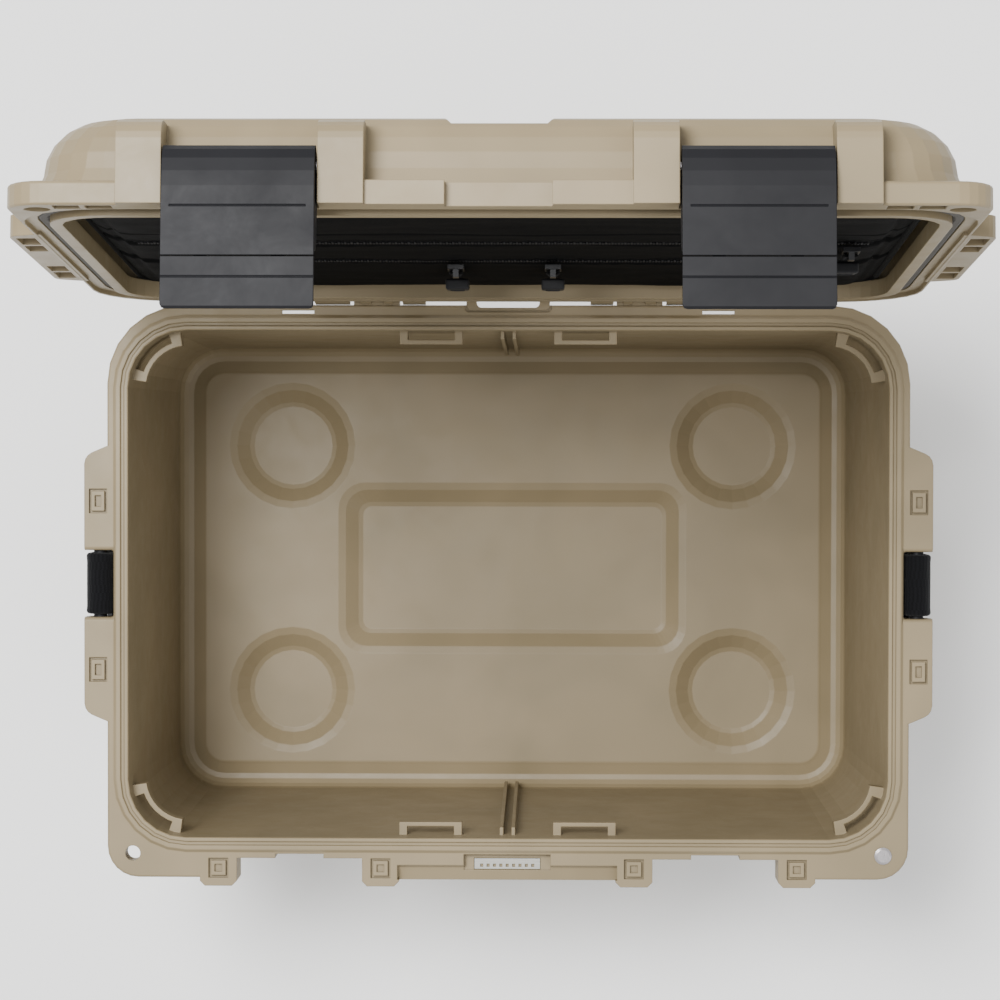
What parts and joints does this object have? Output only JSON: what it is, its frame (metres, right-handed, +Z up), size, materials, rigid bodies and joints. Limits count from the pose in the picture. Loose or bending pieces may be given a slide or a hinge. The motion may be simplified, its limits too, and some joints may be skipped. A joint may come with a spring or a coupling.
{
  "type": "moulded gear case with hinged lid",
  "caption": "Open-topped moulded storage chest with a hinged domed lid, draw latches, webbing side handles, rubber feet and a zipped fabric organiser in the lid.",
  "frame": {"origin": "bottom centre of the object's box with the lid standing open", "axes": "+X to the right seen from the front, +Y to the back, +Z up; the latches are on -Y and the hinges on +Y"},
  "size_m": [0.516, 0.4334, 0.6226],
  "materials": {
    "tan_polymer": "satin",
    "charcoal_polymer": "satin",
    "foot_rubber": "matte",
    "vent_metal": "satin",
    "steel": "satin",
    "webbing": "matte",
    "gasket_foam": "matte",
    "organiser_fabric": "matte",
    "board_polymer": "matte",
    "zip_tape": "matte",
    "zip_metal": "satin",
    "pull_polymer": "matte"
  },
  "bodies": {
    "tub": {"tub": "tan_polymer", "foot_pad_front_left": "foot_rubber", "foot_pad_front_right": "foot_rubber", "foot_pad_rear_left": "foot_rubber", "foot_pad_rear_right": "foot_rubber", "vent_plate": "vent_metal", "padlock_rivet": "steel", "handle_pin_left": "charcoal_polymer", "handle_pin_right": "charcoal_polymer", "hinge_pin_left": "steel", "hinge_pin_right": "steel"},
    "lid": {"lid_shell": "tan_polymer", "lid_gasket": "gasket_foam", "organiser_panel": "organiser_fabric", "organiser_board": "board_polymer", "organiser_post_front_left": "board_polymer", "organiser_post_front_right": "board_polymer", "organiser_post_rear_left": "board_polymer", "organiser_post_rear_right": "board_polymer", "zip_tape_lower": "zip_tape", "zip_tape_upper": "zip_tape", "latch_pivot_pin_left": "steel", "latch_pivot_pin_right": "steel"},
    "latch_link_left": {"latch_link_left": "charcoal_polymer", "lever_pin_left": "steel"},
    "latch_lever_left": {"latch_lever_left": "charcoal_polymer"},
    "handle_left": {"handle_strap_left": "webbing", "handle_grip_left": "charcoal_polymer"},
    "latch_link_right": {"latch_link_right": "charcoal_polymer", "lever_pin_right": "steel"},
    "latch_lever_right": {"latch_lever_right": "charcoal_polymer"},
    "handle_right": {"handle_strap_right": "webbing", "handle_grip_right": "charcoal_polymer"},
    "zip_slider_left": {"zip_slider_left": "zip_metal"},
    "zip_pull_left": {"zip_pull_left": "pull_polymer"},
    "zip_slider_right": {"zip_slider_right": "zip_metal"},
    "zip_pull_right": {"zip_pull_right": "pull_polymer"},
    "zip_slider_upper": {"zip_slider_upper": "zip_metal"},
    "zip_pull_upper": {"zip_pull_upper": "pull_polymer"}
  },
  "joints": [
    {"name": "lid_hinge", "type": "hinge", "parent": "tub", "child": "lid", "pos_m": [0, 0.1451, 0.25], "axis": [1, 0, 0], "range_deg": [0, 95.4]},
    {"name": "latch_left", "type": "hinge", "parent": "lid", "child": "latch_link_left", "pos_m": [-0.12675, 0.19136, 0.60121], "axis": [-1, 0, 0], "range_deg": [-6, 100]},
    {"name": "latch_lever_left", "type": "hinge", "parent": "latch_link_left", "child": "latch_lever_left", "pos_m": [-0.12675, 0.14029, 0.61357], "axis": [-1, 0, 0], "range_deg": [0, 60]},
    {"name": "handle_left", "type": "hinge", "parent": "tub", "child": "handle_left", "pos_m": [-0.2494, -0.0319, 0.234], "axis": [0, 1, 0], "range_deg": [0, 88]},
    {"name": "latch_right", "type": "hinge", "parent": "lid", "child": "latch_link_right", "pos_m": [0.12675, 0.19136, 0.60121], "axis": [-1, 0, 0], "range_deg": [-6, 100]},
    {"name": "latch_lever_right", "type": "hinge", "parent": "latch_link_right", "child": "latch_lever_right", "pos_m": [0.12675, 0.14029, 0.61357], "axis": [-1, 0, 0], "range_deg": [0, 60]},
    {"name": "handle_right", "type": "hinge", "parent": "tub", "child": "handle_right", "pos_m": [0.2494, -0.0319, 0.234], "axis": [0, -1, 0], "range_deg": [0, 88]},
    {"name": "zip_left", "type": "slide", "parent": "lid", "child": "zip_slider_left", "axis": [1, 0, 0], "range_m": [-0.15, 0]},
    {"name": "zip_pull_left", "type": "hinge", "parent": "zip_slider_left", "child": "zip_pull_left", "pos_m": [-0.027, 0.14936, 0.40027], "axis": [-1, 0, 0], "range_deg": [0, 90]},
    {"name": "zip_right", "type": "slide", "parent": "lid", "child": "zip_slider_right", "axis": [1, 0, 0], "range_m": [0, 0.15]},
    {"name": "zip_pull_right", "type": "hinge", "parent": "zip_slider_right", "child": "zip_pull_right", "pos_m": [0.027, 0.14936, 0.40027], "axis": [-1, 0, 0], "range_deg": [0, 90]},
    {"name": "zip_upper", "type": "slide", "parent": "lid", "child": "zip_slider_upper", "axis": [1, 0, 0], "range_m": [-0.37, 0]},
    {"name": "zip_pull_upper", "type": "hinge", "parent": "zip_slider_upper", "child": "zip_pull_upper", "pos_m": [0.186, 0.15538, 0.46398], "axis": [-1, 0, 0], "range_deg": [0, 90]}
  ]
}
